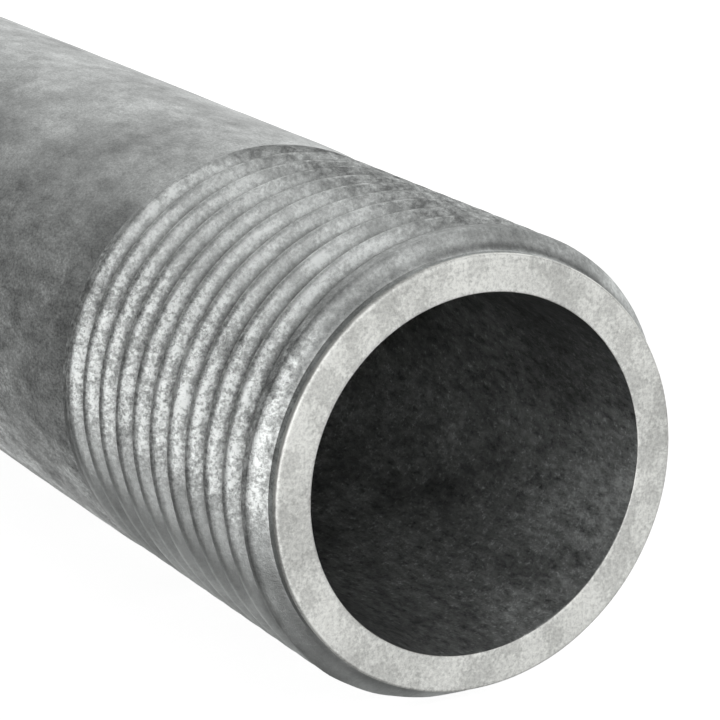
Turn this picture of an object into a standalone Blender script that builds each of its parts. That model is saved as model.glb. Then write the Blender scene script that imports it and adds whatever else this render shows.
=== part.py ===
"""A threaded pipe nipple for 1/2 inch pipe: one length of galvanised steel pipe, threaded at both ends.

Run it with: blender --background --python part.py
Metres, +Z up. The pipe lies along X with the middle of its axis at the origin, so either end can be
screwed into a fitting. Everything is turned about Z first, and the finished pipe is then laid along X.
"""

import math

import bmesh
import bpy
from mathutils import Matrix

MM = 0.001

# The pipe: 1/2 inch steel tube of the medium series.
LENGTH = 100 * MM
OUTSIDE_DIAMETER = 21.3 * MM
WALL = 2.6 * MM
BORE_RADIUS = OUTSIDE_DIAMETER / 2 - WALL
BARREL_RADIUS = OUTSIDE_DIAMETER / 2

# The thread: 1/2 inch parallel pipe thread, Whitworth form, right-handed, 14 turns to the inch.
PITCH = 25.4 / 14 * MM
CREST_RADIUS = 20.955 / 2 * MM
HALF_ANGLE = math.radians(27.5)
SHARP_HEIGHT = PITCH / (2 * math.tan(HALF_ANGLE))
THREAD_HEIGHT = SHARP_HEIGHT * 2 / 3
ROOT_RADIUS = CREST_RADIUS - THREAD_HEIGHT
ROOT_FLAT = PITCH / 6
THREAD_LENGTH = 19.8 * MM

# The end: a short plain nose behind the square-cut face, then a steep chamfer up to the first crest.
NOSE_RADIUS = 9.72 * MM
NOSE_LENGTH = 0.55 * MM
CHAMFER_LENGTH = 0.5 * MM
EDGE_BREAK = 0.12 * MM

SEGMENTS = 36
STEP_ANGLE = 2 * math.pi / SEGMENTS
MERGE = 0.00001
SPARE = 0.5 * MM

# The groove's path, in turns: how far behind the end face it starts, and how it fades in and out.
FIRST_TURN = 0.56
FADE_IN_TURNS = 0.35
FULL_TURNS = 9.55
FADE_OUT_TURNS = 0.45
START_ANGLE = 9 * STEP_ANGLE

GALVANISED = (0.60, 0.61, 0.61, 1.0)


def clear_scene():
    for old in list(bpy.data.objects):
        bpy.data.objects.remove(old)


def new_collection(name):
    made = bpy.data.collections.new(name)
    bpy.context.scene.collection.children.link(made)
    return made


def galvanised_steel():
    material = bpy.data.materials.new("galvanised_steel")
    material.use_nodes = True
    shader = material.node_tree.nodes["Principled BSDF"]
    shader.inputs["Base Color"].default_value = GALVANISED
    shader.inputs["Metallic"].default_value = 1.0
    shader.inputs["Roughness"].default_value = 0.45
    return material


def profile_loop(name, points, collection):
    """A closed outline in the XZ plane, from (radius, height) points."""
    mesh = bpy.data.meshes.new(name)
    corners = [(radius, 0.0, height) for radius, height in points]
    edges = [(i, (i + 1) % len(corners)) for i in range(len(corners))]
    mesh.from_pydata(corners, edges, [])
    made = bpy.data.objects.new(name, mesh)
    collection.objects.link(made)
    return made


def end_profile():
    """The outside of the upper end, as (radius, height), from the face down to the barrel."""
    top = LENGTH / 2
    return [
        (NOSE_RADIUS - EDGE_BREAK, top),
        (NOSE_RADIUS, top - EDGE_BREAK),
        (NOSE_RADIUS, top - NOSE_LENGTH),
        (CREST_RADIUS, top - NOSE_LENGTH - CHAMFER_LENGTH),
        (CREST_RADIUS, top - THREAD_LENGTH),
        (BARREL_RADIUS, top - THREAD_LENGTH),
    ]


def pipe_blank(collection):
    """The pipe before its threads are cut: one closed outline turned about Z."""
    outside = end_profile()
    outside += [(radius, -height) for radius, height in reversed(outside)]
    top = LENGTH / 2
    bore = [
        (BORE_RADIUS + EDGE_BREAK, -top),
        (BORE_RADIUS, EDGE_BREAK - top),
        (BORE_RADIUS, top - EDGE_BREAK),
        (BORE_RADIUS + EDGE_BREAK, top),
    ]
    blank = profile_loop("nipple_pipe", outside + bore, collection)
    turn = blank.modifiers.new("turn", "SCREW")
    turn.axis = "Z"
    turn.angle = 2 * math.pi
    turn.steps = turn.render_steps = SEGMENTS
    turn.use_merge_vertices = True
    turn.merge_threshold = MERGE
    return blank


def groove_outline():
    """The groove's section as (radius, height) about its own middle, open to beyond the crests."""
    rim = CREST_RADIUS + 0.02 * MM
    half_root = ROOT_FLAT / 2
    half_rim = half_root + (rim - ROOT_RADIUS) * math.tan(HALF_ANGLE)
    outer = CREST_RADIUS + SPARE
    return [
        (outer, half_rim),
        (outer, -half_rim),
        (rim, -half_rim),
        (ROOT_RADIUS, -half_root),
        (ROOT_RADIUS, half_root),
        (rim, half_rim),
    ]


def lift(turns):
    """How far out the cutter has swung after this many turns: nought while it cuts to full depth."""
    into = max(0.0, 1.0 - turns / FADE_IN_TURNS)
    out = max(0.0, (turns - FADE_IN_TURNS - FULL_TURNS) / FADE_OUT_TURNS)
    return (THREAD_HEIGHT + SPARE) * max(into, out)


def groove_cutter(name, way_up, collection):
    """The coil that one thread's groove leaves empty: way_up is 1 for the upper end and -1 for the lower.

    It winds in from the nose as a right-hand thread. The lower one is the same coil turned over about X.
    """
    section = groove_outline()
    total_turns = FADE_IN_TURNS + FULL_TURNS + FADE_OUT_TURNS
    steps = round(total_turns * SEGMENTS)
    start = LENGTH / 2 - FIRST_TURN * PITCH
    shape = bmesh.new()
    rings = []
    for step in range(steps + 1):
        turns = step / SEGMENTS
        angle = START_ANGLE - 2 * math.pi * turns
        out = lift(turns)
        ring = []
        for radius, height in section:
            reach = radius + out
            z = start - PITCH * turns + height
            x, y = reach * math.cos(angle), reach * math.sin(angle)
            ring.append(shape.verts.new((x, way_up * y, way_up * z)))
        rings.append(ring)
    for first, second in zip(rings, rings[1:]):
        for i in range(len(section)):
            j = (i + 1) % len(section)
            shape.faces.new((first[i], first[j], second[j], second[i]))
    shape.faces.new(rings[0])
    shape.faces.new(rings[-1])
    bmesh.ops.recalc_face_normals(shape, faces=shape.faces)
    mesh = bpy.data.meshes.new(name)
    shape.to_mesh(mesh)
    shape.free()
    made = bpy.data.objects.new(name, mesh)
    collection.objects.link(made)
    made.hide_render = True
    made.display_type = "WIRE"
    return made


def cut(blank, cutter):
    groove = blank.modifiers.new(cutter.name, "BOOLEAN")
    groove.operation = "DIFFERENCE"
    groove.solver = "EXACT"
    groove.object = cutter


def lay_along_x(turned):
    """Tips Z over to X, and rolls the piece half a facet so that it lies on a flat and not on an edge."""
    turned.matrix_world = Matrix.Rotation(STEP_ANGLE / 2, 4, "X") @ Matrix.Rotation(math.pi / 2, 4, "Y")


def main():
    clear_scene()
    parts = new_collection("threaded_pipe_nipple")
    cutters = new_collection("cutters")
    pipe = pipe_blank(parts)
    pipe.data.materials.append(galvanised_steel())
    lay_along_x(pipe)
    for name, way_up in (("near_groove", 1), ("far_groove", -1)):
        groove = groove_cutter(name, way_up, cutters)
        lay_along_x(groove)
        cut(pipe, groove)


main()
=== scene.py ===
"""The looks of a threaded pipe nipple: a length of galvanised steel pipe with a thread on each end.

The pipe's whole skin is one closed sheet of rings. Each ring is a station along the pipe's outline, and
on the threaded stretches its radius follows the Whitworth thread as it winds round.

Angles round the pipe are measured about its axis, from straight down towards +Y.
"""

import math

import bpy
import numpy as np
from mathutils import Matrix, Vector


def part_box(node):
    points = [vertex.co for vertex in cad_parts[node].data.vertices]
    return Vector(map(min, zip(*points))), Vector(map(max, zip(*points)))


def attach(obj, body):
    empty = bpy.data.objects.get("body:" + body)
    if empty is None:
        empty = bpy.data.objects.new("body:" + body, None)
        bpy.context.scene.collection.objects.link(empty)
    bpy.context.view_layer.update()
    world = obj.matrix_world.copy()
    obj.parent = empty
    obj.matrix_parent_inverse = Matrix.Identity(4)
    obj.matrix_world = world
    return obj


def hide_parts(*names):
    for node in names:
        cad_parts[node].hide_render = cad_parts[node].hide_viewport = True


MM = 0.001

# 1/2 inch pipe of the medium series, and the parallel thread on its ends. ZINC raises the crests above
# the CAD's. The chamfer grows from its CAD length to LONG_CHAMFER on one side, and CHAMFER_REACH sets
# how far round the pipe it does.
BARREL_RADIUS = 10.65 * MM
BORE_RADIUS = 8.05 * MM
NOSE_RADIUS = 9.72 * MM
NOSE_LENGTH = 0.55 * MM
CHAMFER_LENGTH = 0.5 * MM
LONG_CHAMFER = 1.4 * MM
LONG_CHAMFER_ANGLE = math.radians(67)
CHAMFER_REACH = 0.65
PITCH = 25.4 / 14 * MM
ZINC = 0.11 * MM
CREST_RADIUS = 20.955 / 2 * MM + ZINC
HALF_ANGLE = math.radians(27.5)
THREAD_HEIGHT = 0.640327 * PITCH
ROOT_RADIUS = CREST_RADIUS - THREAD_HEIGHT
TIP_ROUNDING = 0.137329 * PITCH
THREAD_LENGTH = 19.8 * MM
LIP = 0.06 * MM
FACE_ROUNDING = 0.12 * MM

# The groove's path in turns, as in the CAD: its start behind the face, its fades and its full stretch.
FIRST_TURN = 0.56
FADE_IN_TURNS = 0.35
FULL_TURNS = 9.55
FADE_OUT_TURNS = 0.45

# Where the groove starts round the pipe, which isn't the CAD's angle. The far end's shape is the near
# one's turned end for end, and then by FAR_END_TURN.
START_ANGLE = math.radians(160)
FAR_END_TURN = math.radians(10)

# Where thick zinc partly fills the grooves: the angle at its middle, and how much of the depth it takes.
# It begins where the cosine of the angle from that middle is FILL_EDGE, and is whole FILL_FADE past it.
FILLED = ((math.radians(318), 0.75), (math.radians(150), 0.6))
FILL_EDGE = 0.8
FILL_FADE = 0.17

# Where the last crest ends, the skin drops a little and then widens gently to the barrel's full diameter.
DROP = 0.03 * MM
DROP_LENGTH = 0.15 * MM
RISE_LENGTH = 2.0 * MM

# The mesh's fineness: points in each ring, and rings along each stretch of one end.
COLUMNS = 160
ROWS_PER_PITCH = 16
BORE_RINGS = 48
CORNER_RINGS = 4
FACE_RINGS = 14
RISE_RINGS = 7
BARREL_RINGS = 46

# The skin's slight unevenness: a sum of waves with these lengths in millimetres, and each region's height.
WAVES = 40
WAVE_LENGTHS = (2.0, 9.0)
REGIONS = ("barrel", "thread", "face", "bore")
ROUGH = {"barrel": 0.010 * MM, "thread": 0.006 * MM, "face": 0.006 * MM, "bore": 0.02 * MM}
SHARP_ANGLE = math.radians(40)

# The camera for a square frame, as the photograph's perspective gives it: the focal length in frame
# widths, the view's direction, and the near face's centre as a depth and its offsets in shares of it.
FOCAL_IN_FRAMES = 4.5486
AZIMUTH = math.radians(61.70)
ELEVATION = math.radians(15.85)
FACE_DEPTH = 139.59 * MM
FACE_RIGHT = 0.03623
FACE_DOWN = 0.0355
SENSOR = 36.0


# ---------------------------------------------------------------- shape


def smooth(t):
    t = np.clip(t, 0, 1)
    return t * t * (3 - 2 * t)


def whitworth(offset):
    """Radius of the thread at this distance along the axis from the middle of its groove."""
    away = np.abs((offset + PITCH / 2) % PITCH - PITCH / 2)
    left = PITCH / 2 - away
    reach = TIP_ROUNDING * math.cos(HALF_ANGLE)
    root = ROOT_RADIUS + TIP_ROUNDING - np.sqrt(np.maximum(TIP_ROUNDING**2 - away**2, 0))
    crest = CREST_RADIUS - TIP_ROUNDING + np.sqrt(np.maximum(TIP_ROUNDING**2 - left**2, 0))
    flank_start = ROOT_RADIUS + TIP_ROUNDING * (1 - math.sin(HALF_ANGLE))
    flank = flank_start + (away - reach) / math.tan(HALF_ANGLE)
    return np.where(away < reach, root, np.where(left < reach, crest, flank))


def thread_radius(depth, angle):
    """Radius of a threaded stretch at this depth behind the face and these angles about the axis."""
    start = (START_ANGLE - angle) / (2 * math.pi)
    along = depth / PITCH - FIRST_TURN - start
    turns = np.floor(along + 0.5) + start
    fade_in = smooth(turns / FADE_IN_TURNS)
    fade_out = 1 - smooth((turns - FADE_IN_TURNS - FULL_TURNS) / FADE_OUT_TURNS)
    left = 1.0
    for middle, share in FILLED:
        left = left - share * smooth((np.cos(angle - middle) - FILL_EDGE) / FILL_FADE)
    return CREST_RADIUS - (CREST_RADIUS - whitworth(along * PITCH)) * fade_in * fade_out * left


def end_radius(depth, angle):
    """Outside radius of one end at this depth: the thread, held in by the nose, chamfer and tail."""
    longer = (np.cos(angle - LONG_CHAMFER_ANGLE) + CHAMFER_REACH) / (1 + CHAMFER_REACH)
    off_centre = np.maximum(0, longer)
    chamfer = CHAMFER_LENGTH + (LONG_CHAMFER - CHAMFER_LENGTH) * off_centre
    nose = NOSE_RADIUS + max(0, depth - NOSE_LENGTH) * (CREST_RADIUS - NOSE_RADIUS) / chamfer
    tail = CREST_RADIUS - DROP * smooth(1 + (depth - THREAD_LENGTH) / DROP_LENGTH)
    return np.minimum(thread_radius(depth, angle), np.minimum(nose, tail))


def half_skin(angle):
    """One end's rings as (depth behind the face, radius, region), from the bore's middle outwards."""
    middle = LENGTH / 2
    quarter = np.radians(np.linspace(0, 90, CORNER_RINGS))
    rings = [(depth, BORE_RADIUS, "bore") for depth in np.linspace(middle, LIP * 4, BORE_RINGS)]
    rings += [
        (LIP - LIP * math.sin(t), BORE_RADIUS + LIP - LIP * math.cos(t), "bore" if t < 0.5 else "face")
        for t in quarter
    ]
    face = np.linspace(BORE_RADIUS + LIP, NOSE_RADIUS - FACE_ROUNDING, FACE_RINGS)[1:-1]
    rings += [(0.0, radius, "face") for radius in face]
    rings += [
        (FACE_ROUNDING * (1 - math.cos(t)), NOSE_RADIUS - FACE_ROUNDING * (1 - math.sin(t)), "face")
        for t in quarter
    ]
    rows = round(THREAD_LENGTH / PITCH * ROWS_PER_PITCH)
    for depth in np.linspace(FACE_ROUNDING, THREAD_LENGTH, rows)[1:]:
        rings.append((depth, end_radius(depth, angle), "thread"))
    low = CREST_RADIUS - DROP
    for t in np.linspace(0, 1, RISE_RINGS)[1:]:
        radius = low + (BARREL_RADIUS - low) * smooth(t)
        rings.append((THREAD_LENGTH + t * RISE_LENGTH, radius, "barrel"))
    barrel = np.linspace(THREAD_LENGTH + RISE_LENGTH, middle, BARREL_RINGS)[1:]
    rings += [(depth, BARREL_RADIUS, "barrel") for depth in barrel]
    return rings


def unevenness(points):
    """A smooth pattern of gentle humps, as thick zinc has: a fixed sum of waves, mostly within -2 to 2."""
    rng = np.random.default_rng(11)
    total = np.zeros(len(points))
    for _ in range(WAVES):
        way = rng.normal(size=3)
        wave = 2 * math.pi / (rng.uniform(*WAVE_LENGTHS) * MM)
        total += np.sin(points @ (way / np.linalg.norm(way) * wave) + rng.uniform(0, 2 * math.pi))
    return total / math.sqrt(WAVES)


def skin_grid():
    """The rings' points as one array (ring, column, XYZ) about the axis, and each ring's region."""
    angle = np.arange(COLUMNS) * 2 * math.pi / COLUMNS
    near = [(LENGTH / 2 - d, r, region) for d, r, region in half_skin(angle)]
    far = [(d - LENGTH / 2, r, region) for d, r, region in half_skin(FAR_END_TURN - angle)]
    rings = near + far[::-1][1:-1]
    points = np.empty((len(rings), COLUMNS, 3))
    for row, (x, radius, _) in enumerate(rings):
        points[row, :, 0] = x
        points[row, :, 1] = radius * np.sin(angle)
        points[row, :, 2] = -radius * np.cos(angle)
    return points, [region for _, _, region in rings]


def pipe_skin(materials):
    """The whole pipe as one closed mesh, with one material for each region."""
    points, regions = skin_grid()
    rows = len(points)
    following = np.roll(points, -1, 0) - np.roll(points, 1, 0)
    across = np.roll(points, -1, 1) - np.roll(points, 1, 1)
    normals = np.cross(following, across)
    normals /= np.maximum(np.linalg.norm(normals, axis=2, keepdims=True), 1e-12)
    flat = points.reshape(-1, 3)
    rough = np.repeat([ROUGH[region] for region in regions], COLUMNS)
    moved = flat + normals.reshape(-1, 3) * (unevenness(flat) * rough)[:, None]

    first = np.arange(rows)[:, None] * COLUMNS + np.arange(COLUMNS)
    right = np.roll(first, -1, 1)
    faces = np.stack([first, right, np.roll(right, -1, 0), np.roll(first, -1, 0)], -1).reshape(-1, 4)
    mesh = bpy.data.meshes.new("galvanised_pipe")
    mesh.from_pydata(moved.tolist(), [], faces.tolist())
    for region in REGIONS:
        mesh.materials.append(materials[region])
    index = np.repeat([REGIONS.index(region) for region in regions], COLUMNS)
    mesh.polygons.foreach_set("material_index", index.astype(np.int32))
    mesh.update()
    pipe = bpy.data.objects.new("galvanised_pipe", mesh)
    pipe.location = AXIS
    bpy.context.scene.collection.objects.link(pipe)
    mesh.shade_smooth()
    mesh.set_sharp_from_angle(angle=SHARP_ANGLE)
    return pipe


# ---------------------------------------------------------------- materials


class Nodes:
    """Short calls that add and join shader nodes in one material."""

    def __init__(self, name):
        self.material = bpy.data.materials.new(name)
        self.material.use_nodes = True
        self.tree = self.material.node_tree
        self.shader = self.tree.nodes["Principled BSDF"]
        self.place = self.add("ShaderNodeTexCoord").outputs["Object"]

    def add(self, kind):
        return self.tree.nodes.new(kind)

    def join(self, value, socket):
        if isinstance(value, bpy.types.NodeSocket):
            self.tree.links.new(value, socket)
        else:
            socket.default_value = value

    def stretched(self, x, y, z):
        """Positions in millimetres, divided along each axis by these lengths."""
        node = self.add("ShaderNodeMapping")
        node.inputs["Scale"].default_value = (1 / (x * MM), 1 / (y * MM), 1 / (z * MM))
        self.join(self.place, node.inputs["Vector"])
        return node.outputs["Vector"]

    def noise(self, size, detail=3.0, roughness=0.55, distortion=0.0):
        """Noise whose patches are about this many millimetres across, or (x, y, z) millimetres."""
        sizes = size if isinstance(size, tuple) else (size, size, size)
        node = self.add("ShaderNodeTexNoise")
        self.join(self.stretched(*sizes), node.inputs["Vector"])
        node.inputs["Scale"].default_value = 1.0
        node.inputs["Detail"].default_value = detail
        node.inputs["Roughness"].default_value = roughness
        node.inputs["Distortion"].default_value = distortion
        return node.outputs["Fac"]

    def span(self, value, low, high, to_low=0.0, to_high=1.0):
        """Maps low..high to to_low..to_high, clamped."""
        node = self.add("ShaderNodeMapRange")
        node.interpolation_type = "SMOOTHSTEP"
        node.inputs["From Min"].default_value = low
        node.inputs["From Max"].default_value = high
        node.inputs["To Min"].default_value = to_low
        node.inputs["To Max"].default_value = to_high
        self.join(value, node.inputs["Value"])
        return node.outputs["Result"]

    def math(self, operation, first, second=0.0):
        node = self.add("ShaderNodeMath")
        node.operation = operation
        self.join(first, node.inputs[0])
        self.join(second, node.inputs[1])
        return node.outputs["Value"]

    def mix(self, share, first, second):
        """A colour between two colours."""
        node = self.add("ShaderNodeMix")
        node.data_type = "RGBA"
        self.join(share, node.inputs["Factor"])
        self.join(first, node.inputs["A"])
        self.join(second, node.inputs["B"])
        return node.outputs["Result"]

    def bump(self, height, distance, strength=1.0):
        node = self.add("ShaderNodeBump")
        node.inputs["Strength"].default_value = strength
        node.inputs["Distance"].default_value = distance
        self.join(height, node.inputs["Height"])
        self.join(node.outputs["Normal"], self.shader.inputs["Normal"])

    def vary(self, value, pattern, amount):
        """The value, raised where the pattern is over a half and lowered where it is under."""
        node = self.add("ShaderNodeMath")
        node.operation = "MULTIPLY_ADD"
        self.join(pattern, node.inputs[0])
        node.inputs[1].default_value = 2 * amount
        node.inputs[2].default_value = 1 - amount
        return self.math("MULTIPLY", value, node.outputs["Value"])

    def blend(self, value, share, rest=0.5):
        """The value where the share is 1, the rest where it is 0."""
        node = self.add("ShaderNodeMix")
        self.join(share, node.inputs["Factor"])
        self.join(rest, node.inputs["A"])
        self.join(value, node.inputs["B"])
        return node.outputs["Result"]

    def colour(self, level, tint):
        """Sets the base colour: a level between 0 and 1 times a tint."""
        colour = self.mix(level, (0.0, 0.0, 0.0, 1.0), (*tint, 1.0))
        self.join(colour, self.shader.inputs["Base Color"])

    def metal(self, metallic, roughness):
        self.shader.inputs["Metallic"].default_value = metallic
        self.join(roughness, self.shader.inputs["Roughness"])

    def product(self, *factors):
        total = factors[0]
        for factor in factors[1:]:
            total = self.math("MULTIPLY", total, factor)
        return total

    def dot(self, vector, direction):
        node = self.add("ShaderNodeVectorMath")
        node.operation = "DOT_PRODUCT"
        self.join(vector, node.inputs[0])
        node.inputs[1].default_value = direction
        return node.outputs["Value"]

    def along(self):
        """Distance along the axis from the pipe's middle, in millimetres, negative at one end."""
        return self.dot(self.place, (1 / MM, 0.0, 0.0))

    def depth(self):
        """Distance behind the nearer end's face, in millimetres."""
        return self.math("SUBTRACT", LENGTH / 2 / MM, self.math("ABSOLUTE", self.along()))

    def toward(self, degrees):
        """How far from the axis a place lies towards this angle round the pipe, in millimetres."""
        angle = math.radians(degrees)
        return self.dot(self.place, (0.0, math.sin(angle) / MM, -math.cos(angle) / MM))

    def patch(self, degrees, low, high, outside=0.0, inside=1.0):
        """The outside value up to low millimetres towards this angle, and the inside value from high on."""
        return self.span(self.toward(degrees), low, high, outside, inside)

    def outward(self):
        """How far the surface faces the pipe's nearer end: 1 straight at it, -1 straight away from it."""
        facing = self.dot(self.add("ShaderNodeTexCoord").outputs["Normal"], (1.0, 0.0, 0.0))
        return self.math("MULTIPLY", facing, self.math("SIGN", self.along()))

    def radius(self):
        """Distance from the pipe's axis, in millimetres."""
        flat = self.add("ShaderNodeVectorMath")
        flat.operation = "MULTIPLY"
        self.join(self.place, flat.inputs[0])
        flat.inputs[1].default_value = (0.0, 1 / MM, 1 / MM)
        length = self.add("ShaderNodeVectorMath")
        length.operation = "LENGTH"
        self.join(flat.outputs["Vector"], length.inputs[0])
        return length.outputs["Value"]


# Tints of the zinc, and how much of a thread's mirror-like gleam is left where it is seen edge on.
COOL = (0.972, 1.0, 0.986)
WARM = (0.992, 1.0, 0.962)
EDGE_GLEAM = 0.42


def barrel_zinc():
    """Dull zinc: broad clouds, a soft mottle, a speckle that is strongest low on one side, and painted
    shade a little higher on that side.
    """
    nodes = Nodes("zinc_barrel")
    clouds = nodes.noise((9.0, 5.0, 5.0), 3.0, 0.5, 0.3)
    mottle = nodes.noise((1.6, 0.9, 0.9), 5.0, 0.75)
    grain = nodes.noise((0.2, 0.12, 0.12), 3.0, 0.9)
    side = 287.53
    # Painted shade: the zinc made darker along one side of the barrel, a little above the middle.
    shaded = nodes.patch(243.95, 8.6, 10.3, 1.0, 0.82)
    level = nodes.product(nodes.vary(0.52, clouds, 0.8), shaded)
    level = nodes.vary(level, nodes.blend(mottle, nodes.patch(side, 3.0, 9.5, 0.2, 0.95)), 1.0)
    level = nodes.vary(level, nodes.blend(grain, nodes.patch(side, 3.0, 9.5, 0.5, 1.0)), 1.4)
    nodes.colour(level, COOL)
    nodes.metal(1.0, nodes.vary(0.55, mottle, -0.5))
    nodes.bump(nodes.math("ADD", mottle, grain), 0.03 * MM, 0.5)
    return nodes.material


def painted_thread_shading(nodes, top):
    """Painted shade from the thread's shape: the zinc made dark in the grooves and behind each crest.

    The painted groove shade is darkest along the top, a narrow band low on one side gets painted shade too,
    and a band lower on that side gets painted light.
    """
    # Painted shade in the grooves, darkest along the top, and on the surfaces turned away from the nearer
    # end.
    groove = nodes.span(top, 0.0, 8.0, 0.5, 0.08)
    painted_groove_shade = nodes.blend(1.0, nodes.span(nodes.radius(), 9.62, 10.24), groove)
    painted_back_shade = nodes.span(nodes.outward(), -0.35, 0.12, 0.6, 1.0)
    # Painted shade in a narrow band low on one side, and painted light in a band lower on that side.
    painted_low_shade = nodes.patch(312.37, 7.0, 8.8, 1.0, 0.68)
    painted_low_light = nodes.patch(323.13, 8.2, 9.5, 1.0, 1.5)
    return nodes.product(painted_groove_shade, painted_back_shade, painted_low_shade, painted_low_light)


def thread_zinc():
    """Brighter zinc on the threads, with patches that are tied to places on the pipe.

    It is flecked and pitted on one side, darker in mottled patches along the top, and darker on part of the
    first crest.
    """
    nodes = Nodes("zinc_thread")
    clouds = nodes.noise((3.0, 4.0, 4.0), 3.0, 0.6, 0.6)
    plates = nodes.span(nodes.noise(0.8, 4.0, 0.7), 0.40, 0.62, 0.80, 1.25)
    flecks = nodes.noise(0.2, 4.0, 0.9, 0.3)
    dark_mottle = nodes.span(nodes.noise((0.35, 0.7, 0.7), 5.0, 0.8), 0.36, 0.64, 0.32, 0.74)
    depth = nodes.depth()
    top = nodes.toward(192.36)
    on_nose = nodes.span(depth, 0.45, 0.75, 1.0, 0.0)
    # Painted shade from the thread's shape everywhere but on the nose.
    shade = nodes.blend(0.95, on_nose, painted_thread_shading(nodes, top))

    flecked = nodes.patch(256.30, 8.4, 10.1, 0.4, 1.0)
    flecked = nodes.product(flecked, nodes.patch(187.35, -1.2, 1.7, 0.4, 1.0))
    first_crest = nodes.span(depth, 2.3, 2.7, 1.0, 0.0)
    past_first = nodes.math("SUBTRACT", 1.0, first_crest)
    past_nose = nodes.math("SUBTRACT", 1.0, on_nose)
    calm = nodes.product(first_crest, nodes.span(top, 5.6, 7.2), past_nose)
    dark_mottle_area = nodes.product(nodes.patch(143.13, 5.5, 9.0), past_first)
    low = nodes.product(first_crest, nodes.patch(302.73, 9.3, 10.1))
    ragged = nodes.math("SUBTRACT", depth, nodes.noise((0.5, 0.5, 0.5), 4.0, 0.7))
    last = THREAD_LENGTH / MM
    fringe = nodes.span(ragged, last - 0.75, last - 0.5, 1.0, 0.7)

    level = nodes.product(nodes.vary(0.80, clouds, 0.6), fringe, shade)
    level = nodes.product(level, nodes.blend(plates, flecked, 1.0))
    level = nodes.product(level, nodes.blend(dark_mottle, dark_mottle_area, 1.0))
    level = nodes.product(level, nodes.blend(0.64, calm, 1.0))
    level = nodes.product(level, nodes.blend(0.66, low, 1.0))
    level = nodes.vary(level, nodes.blend(flecks, flecked), 1.7)
    nodes.colour(level, COOL)
    nodes.metal(1.0, nodes.vary(0.42, flecks, -0.4))
    nodes.shader.inputs["Specular Tint"].default_value = (EDGE_GLEAM, EDGE_GLEAM, EDGE_GLEAM, 1.0)
    nodes.bump(flecks, 0.04 * MM, 0.6)
    return nodes.material


def cut_face():
    """The end face: paler zinc over a sawn face, with faint patches, grain, scratches and a painted
    highlight towards its outer edge.
    """
    nodes = Nodes("zinc_face")
    clouds = nodes.noise(7.0, 2.0, 0.5)
    patches = nodes.span(nodes.noise(1.6, 4.0, 0.6), 0.45, 0.55, 0.90, 1.06)
    grain = nodes.noise(0.2, 4.0, 0.85)
    scratches = nodes.span(nodes.noise((1.0, 0.9, 0.07), 2.0, 0.6, 0.8), 0.68, 0.74, 1.0, 0.8)
    # Painted highlight: the face made paler towards its outer edge.
    painted_rim_highlight = nodes.span(nodes.radius(), 9.5, 9.66, 1.0, 1.15)
    level = nodes.product(nodes.vary(0.80, clouds, 0.5), patches, scratches)
    level = nodes.product(nodes.vary(level, grain, 0.75), painted_rim_highlight)
    nodes.colour(level, WARM)
    nodes.metal(1.0, nodes.vary(0.5, grain, -0.3))
    nodes.bump(grain, 0.03 * MM, 0.5)
    return nodes.material


def bore_zinc_and_painted_shade():
    """The bore: nearly black, dark zinc with painted shade, with a soft mottle and a few lighter specks of
    thin zinc.

    It is tied to the pipe too: painted light along one side, most of all near the mouth, and painted shade
    along another.
    """
    nodes = Nodes("dark_bore")
    clouds = nodes.noise((6.0, 4.0, 4.0), 2.0, 0.5)
    mottle = nodes.noise((1.0, 0.45, 0.45), 5.0, 0.85)
    specks = nodes.span(nodes.noise(0.25, 4.0, 0.85), 0.54, 0.66, 1.0, 2.0)
    side = nodes.toward(59.07)
    # Painted light along one side of the bore, strongest near the mouth on that side.
    mouth = nodes.product(nodes.span(nodes.depth(), 1.0, 8.0, 1.0, 0.0), nodes.span(side, 5.0, 7.5))
    painted_side_light = nodes.product(nodes.span(side, 0.0, 8.0, 0.18, 0.46), nodes.blend(1.6, mouth, 1.0))
    # Painted shade along the bore's upper side.
    level = nodes.product(painted_side_light, nodes.patch(149.08, 0.0, 7.0, 1.0, 0.5))
    level = nodes.vary(nodes.vary(level, clouds, 0.9), mottle, 1.9)
    # The bore's nearly black colour is dark zinc with painted shade.
    nodes.colour(nodes.product(level, specks), COOL)
    nodes.metal(0.7, 0.6)
    nodes.bump(mottle, 0.04 * MM, 0.5)
    return nodes.material


# ---------------------------------------------------------------- studio

# The world's even light, and its soft glows as (direction, strength, spread in degrees).
EVEN_LIGHT = 0.16
GLOWS = (
    ((-0.75, 0.62, 0.19), 1.1, 74),
    ((-0.75, 0.05, -0.66), 0.3, 45),
    ((0.89, -0.44, -0.10), 1.6, 38),
    ((0.82, 0.15, 0.55), 0.7, 42),
    ((0.85, 0.46, -0.27), 0.65, 45),
    ((0.2, 0.1, 1.0), 0.4, 42),
    ((0.45, -0.9, 0.1), 0.12, 38),
)

# The stage's white: a light grey that also glows, by these amounts for the floor and the walls.
STAGE_GREY = (0.3, 0.3, 0.3, 1.0)
FLOOR_GLOW = 0.92
WALL_GLOW = 1.0


def add_stage(name, points, faces, glow):
    """A white floor or backdrop, which only the camera sees: it neither lights the pipe nor shades it."""
    mesh = bpy.data.meshes.new(name)
    mesh.from_pydata(points, [], faces)
    stage = bpy.data.objects.new(name, mesh)
    bpy.context.scene.collection.objects.link(stage)
    nodes = Nodes(name + "_white")
    nodes.shader.inputs["Base Color"].default_value = STAGE_GREY
    nodes.shader.inputs["Roughness"].default_value = 0.9
    nodes.shader.inputs["Emission Color"].default_value = (1.0, 1.0, 1.0, 1.0)
    nodes.shader.inputs["Emission Strength"].default_value = glow
    mesh.materials.append(nodes.material)
    stage.visible_glossy = False
    stage.visible_diffuse = False
    stage.visible_shadow = False


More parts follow.
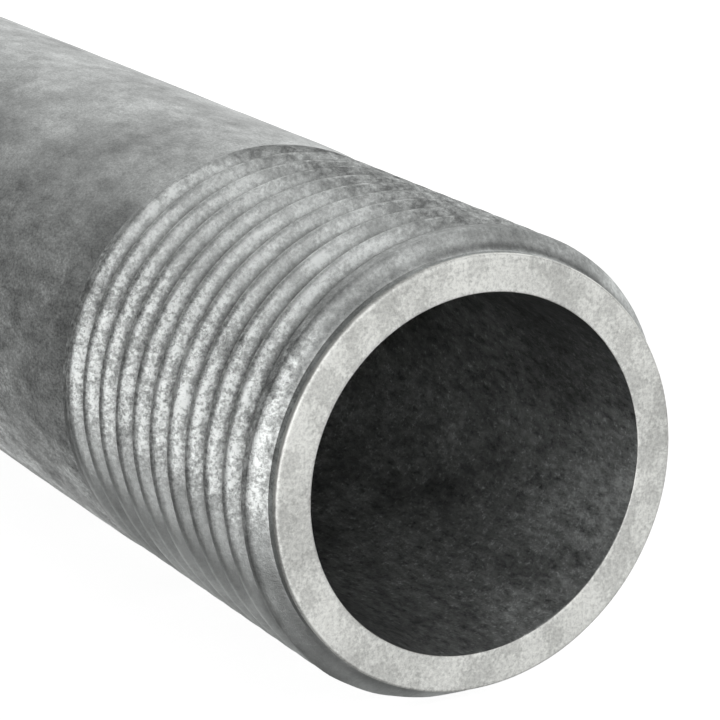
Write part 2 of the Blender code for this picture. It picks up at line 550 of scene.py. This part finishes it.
def add_studio(height, side=4.0):
    """The floor that the pipe lies on, and four walls round it, each side metres from the middle."""
    corners = [(-side, -side), (side, -side), (side, side), (-side, side)]
    low = [(x, y, height) for x, y in corners]
    high = [(x, y, height + side) for x, y in corners]
    walls = [(i, (i + 1) % 4, (i + 1) % 4 + 4, i + 4) for i in range(4)]
    add_stage("floor", low, [(0, 1, 2, 3)], FLOOR_GLOW)
    add_stage("backdrop", low + high, walls, WALL_GLOW)


def add_world(level, glows):
    """Even light all round, and a soft glow round each of the glows' directions."""
    world = bpy.data.worlds.new("studio")
    world.use_nodes = True
    tree = world.node_tree
    tree.nodes["Background"].inputs["Color"].default_value = (1.0, 1.0, 1.0, 1.0)
    direction = tree.nodes.new("ShaderNodeTexCoord").outputs["Generated"]
    total = None
    for toward, strength, spread in glows:
        facing = tree.nodes.new("ShaderNodeVectorMath")
        facing.operation = "DOT_PRODUCT"
        tree.links.new(direction, facing.inputs[0])
        facing.inputs[1].default_value = Vector(toward).normalized()
        glow = tree.nodes.new("ShaderNodeMapRange")
        glow.inputs["From Min"].default_value = math.cos(math.radians(spread))
        glow.inputs["To Max"].default_value = strength
        tree.links.new(facing.outputs["Value"], glow.inputs["Value"])
        add = tree.nodes.new("ShaderNodeMath")
        add.inputs[1].default_value = level
        tree.links.new(glow.outputs["Result"], add.inputs[0])
        if total:
            tree.links.new(total, add.inputs[1])
        total = add.outputs["Value"]
    tree.links.new(total, tree.nodes["Background"].inputs["Strength"])
    bpy.context.scene.world = world


def add_camera():
    """The camera sits so that the near end's face is at the depth and place where the photograph has it."""
    data = bpy.data.cameras.new("camera")
    data.sensor_width = SENSOR
    data.lens = FOCAL_IN_FRAMES * SENSOR
    data.clip_start = 0.01
    right = Vector((math.cos(AZIMUTH), math.sin(AZIMUTH), 0.0))
    ahead = Vector((-math.sin(AZIMUTH), math.cos(AZIMUTH), -math.tan(ELEVATION))).normalized()
    up = right.cross(ahead)
    face = AXIS + Vector((LENGTH / 2, 0.0, 0.0))
    camera = bpy.data.objects.new("camera", data)
    place = face - FACE_DEPTH * (ahead + FACE_RIGHT * right - FACE_DOWN * up)
    turn = Matrix((right, up, -ahead)).transposed().to_4x4()
    camera.matrix_world = Matrix.Translation(place) @ turn
    bpy.context.scene.collection.objects.link(camera)
    bpy.context.scene.camera = camera


# ---------------------------------------------------------------- build

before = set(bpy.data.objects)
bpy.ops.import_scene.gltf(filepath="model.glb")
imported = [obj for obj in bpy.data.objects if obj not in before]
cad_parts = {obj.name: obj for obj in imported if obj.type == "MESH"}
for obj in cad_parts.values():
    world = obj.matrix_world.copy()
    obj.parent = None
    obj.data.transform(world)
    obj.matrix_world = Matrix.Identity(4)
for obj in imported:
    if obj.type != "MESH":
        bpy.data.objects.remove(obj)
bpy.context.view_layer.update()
LOW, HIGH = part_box("nipple_pipe")
LENGTH = HIGH.x - LOW.x
AXIS = (LOW + HIGH) / 2

materials = {"barrel": barrel_zinc(), "thread": thread_zinc(), "face": cut_face(), "bore": bore_zinc_and_painted_shade()}
pipe = pipe_skin(materials)
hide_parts("nipple_pipe")
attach(pipe, "root")

bpy.context.scene.view_settings.view_transform = "Standard"
add_studio(LOW.z)
add_world(EVEN_LIGHT, GLOWS)
add_camera()
